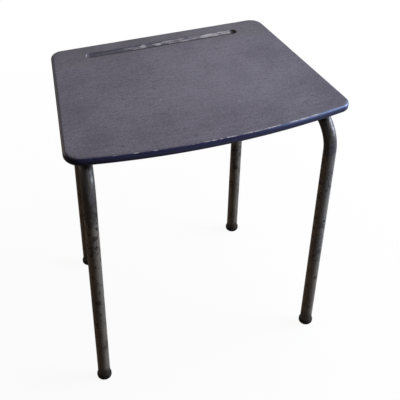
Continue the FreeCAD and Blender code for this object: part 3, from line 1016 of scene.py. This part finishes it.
@dataclass(frozen=True)
class TubeFrame:
    """Two bent-tube side frames, two cross rails and four straps, with the welds between them."""

    NODES: ClassVar[tuple[str, ...]] = (
        "left_side_frame", "right_side_frame", "front_cross_rail", "rear_cross_rail",
        "front_left_fixing_strap", "front_right_fixing_strap",
        "rear_left_fixing_strap", "rear_right_fixing_strap",
    )
    tube_diameter: float = 25.0
    rail_diameter: float = 20.0
    rail_height: float = 549.5
    side_slope: float = 49.5 / 341.0
    run_middle: float = 206.71
    strap_offset: float = 130.0
    strap_width: float = 20.0
    bead_size: float = 3.0
    saddle_points: int = 48
    tack_size: float = 2.6
    tack_offset: float = 4.6
    tack_share: float = 0.84
    tack_points: int = 9
    ripple_pitch: float = 2.4
    ripple_share: float = 0.14

    def saddle(self, side: Side, row: Row) -> list[Triple]:
        """Trace the line where a rail's saddle-cut end meets a side frame.

        Args:
            side: Which side frame.
            row: Which rail.

        Returns:
            Points of the closed line, in millimetres.
        """
        rail, tube = self.rail_diameter / 2, self.tube_diameter / 2
        slope = math.atan(self.side_slope)
        reach = self.run_middle - self.side_slope * row.value
        line = []
        for angle in np.linspace(0, 2 * math.pi, self.saddle_points, endpoint=False):
            off_y, off_z = rail * math.cos(angle), rail * math.sin(angle)
            inside = math.sqrt(tube**2 - off_z**2)
            x = reach - (inside + off_y * math.sin(slope)) / math.cos(slope)
            line.append((side.value * x, row.value + off_y, self.rail_height + off_z))
        return line

    def tack(self, side: Side, row: Row, sign: int) -> list[Triple]:
        """Trace a short weld between a strap and its rail.

        Args:
            side: Which half of the desk.
            row: Which rail.
            sign: In front of the rail's crest or behind it.

        Returns:
            Points of the line, in millimetres.
        """
        rail = self.rail_diameter / 2
        z = self.rail_height + (rail + math.sqrt(rail**2 - self.tack_offset**2)) / 2
        x, y = side.value * self.strap_offset, row.value + sign * self.tack_offset
        half = self.tack_share * self.strap_width / 2
        return [(x + half * t, y, z) for t in np.linspace(-1, 1, self.tack_points)]

    def bead_tree(self) -> Tree:
        """Build the tree that lays a rippled weld bead along a path.

        Returns:
            The tree.
        """
        tree = new_tree("rippled_weld_bead", ("Bead Size", "Ripple Pitch", "Ripple Share"))
        add = partial(add_node, tree)
        given = add("NodeGroupInput").outputs
        step = add(MATH, {0: given["Ripple Pitch"], 1: 6.0}, operation="DIVIDE")
        path = add("GeometryNodeResampleCurve", {"Curve": given["Geometry"], "Length": step}, mode="LENGTH")
        along = add("GeometryNodeSplineParameter").outputs["Length"]
        turns = add(MATH, {0: along, 1: given["Ripple Pitch"]}, operation="DIVIDE")
        phase = add(MATH, {0: turns, 1: 2 * math.pi}, operation="MULTIPLY")
        wave = add(MATH, {0: phase}, operation="SINE")
        swell = add(MATH, {0: wave, 1: given["Ripple Share"], 2: 1.0}, operation="MULTIPLY_ADD")
        half = add(MATH, {0: given["Bead Size"], 1: 0.5}, operation="MULTIPLY")
        size = add(MATH, {0: swell, 1: half}, operation="MULTIPLY")
        section = add("GeometryNodeCurvePrimitiveCircle", {"Resolution": 10, "Radius": 1.0})
        bead = add(
            "GeometryNodeCurveToMesh",
            {"Curve": path, "Profile Curve": section, "Scale": size, "Fill Caps": True},
        )
        for kind in ("GeometryNodeSetShadeSmooth", "GeometryNodeRealizeInstances"):
            bead = add(kind, {"Geometry": bead})
        bead = add("GeometryNodeSetMaterial", {"Geometry": bead, "Material": given["Material"]})
        add("NodeGroupOutput", {"Geometry": bead})
        return tree

    def beads(
        self, name: str, paths: Sequence[Sequence[Triple]], closed: bool, size: float,
        material: bpy.types.Material,
    ) -> Piece:
        """Lay weld beads along paths.

        Args:
            name: Name of the piece.
            paths: Lines of points, in millimetres.
            closed: Whether each line runs round to its start.
            size: Width of the bead.
            material: The tube's finish, which covers the welds too.

        Returns:
            The finished piece.
        """
        curve = bpy.data.curves.new(name, "CURVE")
        curve.dimensions = "3D"
        for path in paths:
            spline = curve.splines.new("POLY")
            spline.points.add(len(path) - 1)
            spline.use_cyclic_u = closed
            for point, place in zip(spline.points, path):
                point.co = (*metres(place), 1.0)
        piece = grow(put(name + "_path", curve), self.bead_tree(), {
            "Bead Size": size * MM, "Ripple Pitch": self.ripple_pitch * MM,
            "Ripple Share": self.ripple_share, "Material": material,
        }, name)
        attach(piece, "root")
        return piece

    def dress(self, nodes: Mapping[str, Piece], finish: LacqueredTube) -> list[Piece]:
        """Lacquer the tubes and straps and add the welds.

        Args:
            nodes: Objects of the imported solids.
            finish: The lacquer.

        Returns:
            The solids and the weld beads.
        """
        material = finish.material()
        joints = [(side, row) for side in Side for row in Row]
        saddles = [self.saddle(*joint) for joint in joints]
        tacks = [self.tack(*joint, sign) for joint in joints for sign in (-1, 1)]
        return [
            *coat(nodes, self.NODES, material),
            self.beads("saddle_welds", saddles, True, self.bead_size, material),
            self.beads("strap_welds", tacks, False, self.tack_size, material),
        ]


@dataclass(frozen=True)
class FixingScrews:
    """Eight slotted round-head wood screws, up through the straps into the top."""

    SIZES: ClassVar[tuple[str, ...]] = (
        "Head Diameter", "Head Height", "Slot Width", "Slot Depth", "Shank Diameter", "Shank Length",
    )
    strap_offset: float = 130.0
    screw_spread: float = 21.0
    strap_underside: float = 559.5
    head_diameter: float = 8.0
    head_height: float = 2.6
    slot_width: float = 1.2
    slot_depth: float = 1.1
    shank_diameter: float = 4.0
    shank_length: float = 12.0
    seed: int = 11

    def tree(self) -> Tree:
        """Build the tree that sets a slotted screw, head down, on each point.

        Returns:
            The tree.
        """
        tree = new_tree("slotted_screws", self.SIZES)
        add = partial(add_node, tree)
        given = add("NodeGroupInput").outputs
        half_head, crown, double, radius, half_shank = (
            add(MATH, {0: given[name], 1: times}, operation="MULTIPLY")
            for name, times in (
                ("Head Height", 0.5), ("Head Height", -1.0), ("Slot Depth", 2.0),
                ("Shank Diameter", 0.5), ("Shank Length", 0.5),
            )
        )
        wide = given["Head Diameter"]
        shape = add("ShaderNodeCombineXYZ", {"X": wide, "Y": wide, "Z": given["Head Height"]})
        shape = add(VECTOR, {0: shape, 1: (1.0, 1.0, 2.0)}, operation="MULTIPLY")
        block = add(VECTOR, {0: shape, 1: (2.0, 2.0, 0.5)}, operation="MULTIPLY")
        slit = add("ShaderNodeCombineXYZ", {"X": wide, "Y": given["Slot Width"], "Z": double})
        # An odd number of rings keeps the ball's vertices off the plane that halves it.
        ball = add("GeometryNodeMeshUVSphere", {"Segments": 40, "Rings": 23, "Radius": 0.5})
        head = add("GeometryNodeTransform", {"Geometry": ball, "Scale": shape})
        waste, blade = (add("GeometryNodeMeshCube", {"Size": size}) for size in (block, slit))
        shank = add(
            "GeometryNodeMeshCylinder", {"Vertices": 24, "Radius": radius, "Depth": given["Shank Length"]}
        )
        moved: list[Node] = []
        for mesh, z in ((waste, half_head), (blade, crown), (shank, half_shank)):
            shift = add("ShaderNodeCombineXYZ", {"Z": z})
            moved.append(add("GeometryNodeTransform", {"Geometry": mesh, "Translation": shift}))
        waste, blade, shank = moved
        for cutter in (waste, blade):
            head = add(
                "GeometryNodeMeshBoolean", {"Mesh 1": head, "Mesh 2": cutter},
                operation="DIFFERENCE", solver="EXACT",
            )
        head = add("GeometryNodeMergeByDistance", {"Geometry": head, "Distance": SAME_PLACE * MM})
        screw = add("GeometryNodeJoinGeometry")
        for part in (head, shank):
            tree.links.new(part.outputs[0], screw.inputs["Geometry"])
        turn = add(
            "FunctionNodeRandomValue",
            {"Min": (0.0, 0.0, 0.0), "Max": (0.0, 0.0, math.pi), "Seed": self.seed},
            data_type="FLOAT_VECTOR",
        )
        points = add("GeometryNodeMeshToPoints", {"Mesh": given["Geometry"]})
        screws = add("GeometryNodeInstanceOnPoints", {"Points": points, "Instance": screw, "Rotation": turn})
        screws = add("GeometryNodeRealizeInstances", {"Geometry": screws})
        screws = add("GeometryNodeSetMaterial", {"Geometry": screws, "Material": given["Material"]})
        add("NodeGroupOutput", {"Geometry": screws})
        return tree

    def dress(self, finish: DulledSteel) -> Piece:
        """Set the eight screws and let them stand for the plain ones.

        Args:
            finish: The steel.

        Returns:
            The finished piece.
        """
        across, along, z = self.strap_offset, self.screw_spread, self.strap_underside
        points = [
            metres((side.value * across, row.value + sign * along, z))
            for side in Side for row in Row for sign in (-1, 1)
        ]
        mesh = bpy.data.meshes.new("screw_places")
        mesh.from_pydata(points, [], [])
        values: dict[str, Any] = {
            name: getattr(self, name.lower().replace(" ", "_")) * MM for name in self.SIZES
        }
        values["Material"] = finish.material()
        piece = grow(put("screw_places", mesh), self.tree(), values, "slotted_fixing_screws")
        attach(piece, "root")
        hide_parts("fixing_screws")
        return piece


@dataclass(frozen=True)
class PlugFeet:
    """Four moulded plug feet."""

    NODES: ClassVar[tuple[str, ...]] = (
        "front_left_foot", "front_right_foot", "rear_left_foot", "rear_right_foot",
    )

    def dress(self, nodes: Mapping[str, Piece], finish: MouldedRubber) -> list[Piece]:
        """Give the feet their rubber."""
        return coat(nodes, self.NODES, finish.material())


@dataclass(frozen=True)
class Lamp:
    """One soft lamp: its place and aim, its size, its light and its colour."""

    name: str
    place: Triple
    aim: Triple
    size: float
    watts: float
    colour: str

    def hang(self) -> Piece:
        """Make the lamp and point it at its aim.

        Returns:
            The lamp.
        """
        light = bpy.data.lights.new(self.name, "AREA")
        light.shape = "DISK"
        light.size = self.size
        light.energy = self.watts
        light.color = linear(self.colour)[:3]
        lamp = put(self.name, light)
        lamp.visible_camera = False
        toward = Vector(self.aim) - Vector(self.place)
        turn = toward.to_track_quat("-Z", "Y").to_matrix()
        lamp.matrix_world = Matrix.Translation(self.place) @ turn.to_4x4()
        return lamp


@dataclass(frozen=True)
class Studio:
    """A plain white floor and backdrop, soft lamps and the camera."""

    floor_half: float = 8.0
    room_light: str = "#927158"
    room_strength: float = 0.3
    room_gleam: float = 0.2
    backdrop_toward: Triple = (0.954, 0.3, 0.0)
    backdrop_reach: Pair = (-0.5, 0.2)
    lamps: tuple[Lamp, ...] = (
        Lamp("window", (4.64, -0.96, 1.89), (0.0, 0.0, 0.45), 3.7, 371.0, "#DDE8FF"),
        Lamp("ceiling", (0.6, 0.15, 2.1), (0.0, 0.0, 0.58), 1.2, 11.5, "#FFF8EE"),
        Lamp("fill", (-2.3, 2.0, 1.0), (0.0, 0.0, 0.4), 2.0, 17.0, "#FFE2C4"),
    )
    sensor: float = 36.0
    lens: float = 76.5
    frame_shift: float = -0.075
    camera_place: Triple = (-0.4326303, -1.256927, 1.4656492)
    camera_right: Triple = (0.942419, -0.334004, 0.016969)
    camera_up: Triple = (0.200437, 0.60471, 0.770812)

    def floor(self) -> Piece:
        """Lay the floor.

        Returns:
            The floor.
        """
        reach = self.floor_half
        mesh = bpy.data.meshes.new("studio_floor")
        mesh.from_pydata(
            [(-reach, -reach, 0.0), (reach, -reach, 0.0), (reach, reach, 0.0), (-reach, reach, 0.0)],
            [], [(0, 1, 2, 3)],
        )
        mesh.materials.append(StudioFloor().material())
        floor = put("studio_floor", mesh)
        return floor

    def world(self) -> bpy.types.World:
        """Make a white surround that lights the room only dimly.

        Gloss sees it white behind the desk and towards the window, and dim on the far left.

        Returns:
            The world.
        """
        world = bpy.data.worlds.new("studio")
        world.use_nodes = True
        world.node_tree.nodes.clear()
        add = partial(add_node, world.node_tree)
        dim = add("ShaderNodeBackground", {"Color": linear(self.room_light), "Strength": self.room_strength})
        way = add("ShaderNodeTexCoord").outputs["Generated"]
        behind = add(VECTOR, {0: way, 1: self.backdrop_toward}, operation="DOT_PRODUCT")
        start, end = self.backdrop_reach
        shown = add(RANGE, {"Value": behind, "From Min": start, "From Max": end, "To Min": self.room_gleam})
        rays = add("ShaderNodeLightPath").outputs
        straight = add(MATH, {0: 1.0, 1: rays["Is Glossy Ray"]}, operation="SUBTRACT")
        shown = add(MATH, {0: shown, 1: straight}, operation="MAXIMUM")
        white = add("ShaderNodeBackground", {"Color": linear(WHITE), "Strength": shown})
        seen: Socket | Node = rays["Is Camera Ray"]
        for ray in ("Is Glossy Ray", "Is Transmission Ray"):
            seen = add(MATH, {0: seen, 1: rays[ray]}, operation="MAXIMUM")
        mixed = add("ShaderNodeMixShader", {0: seen, 1: dim, 2: white})
        add("ShaderNodeOutputWorld", {"Surface": mixed})
        bpy.context.scene.world = world
        return world

    def camera(self) -> Piece:
        """Set the camera at the photograph's place.

        Returns:
            The camera.
        """
        data = bpy.data.cameras.new("camera")
        data.sensor_width = self.sensor
        data.lens = self.lens
        data.shift_y = self.frame_shift
        camera = put("camera", data)
        right, up = Vector(self.camera_right).normalized(), Vector(self.camera_up).normalized()
        turn = Matrix((right, up, right.cross(up))).transposed()
        camera.matrix_world = Matrix.Translation(self.camera_place) @ turn.to_4x4()
        bpy.context.scene.camera = camera
        return camera

    def set_up(self) -> None:
        """Lay the floor, hang the lamps and set the world, the camera and the plain view."""
        self.floor()
        self.world()
        for lamp in self.lamps:
            lamp.hang()
        self.camera()
        bpy.context.scene.view_settings.view_transform = "Standard"


def report(pieces: Iterable[Piece]) -> None:
    """Log each piece with its size in faces."""
    for piece in pieces:
        LOG.info("%s: %d faces", piece.name, len(piece.data.polygons))


def main() -> None:
    """Build the desk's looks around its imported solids, in order."""
    logging.basicConfig(level=logging.INFO, format="%(name)s %(message)s")
    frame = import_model()
    report([DeskTop().dress(PaintedPlywood())])
    report(TubeFrame().dress(frame["nodes"], LacqueredTube()))
    report([FixingScrews().dress(DulledSteel())])
    report(PlugFeet().dress(frame["nodes"], MouldedRubber()))
    Studio().set_up()
    bpy.context.view_layer.update()


if __name__ == "__main__":
    main()
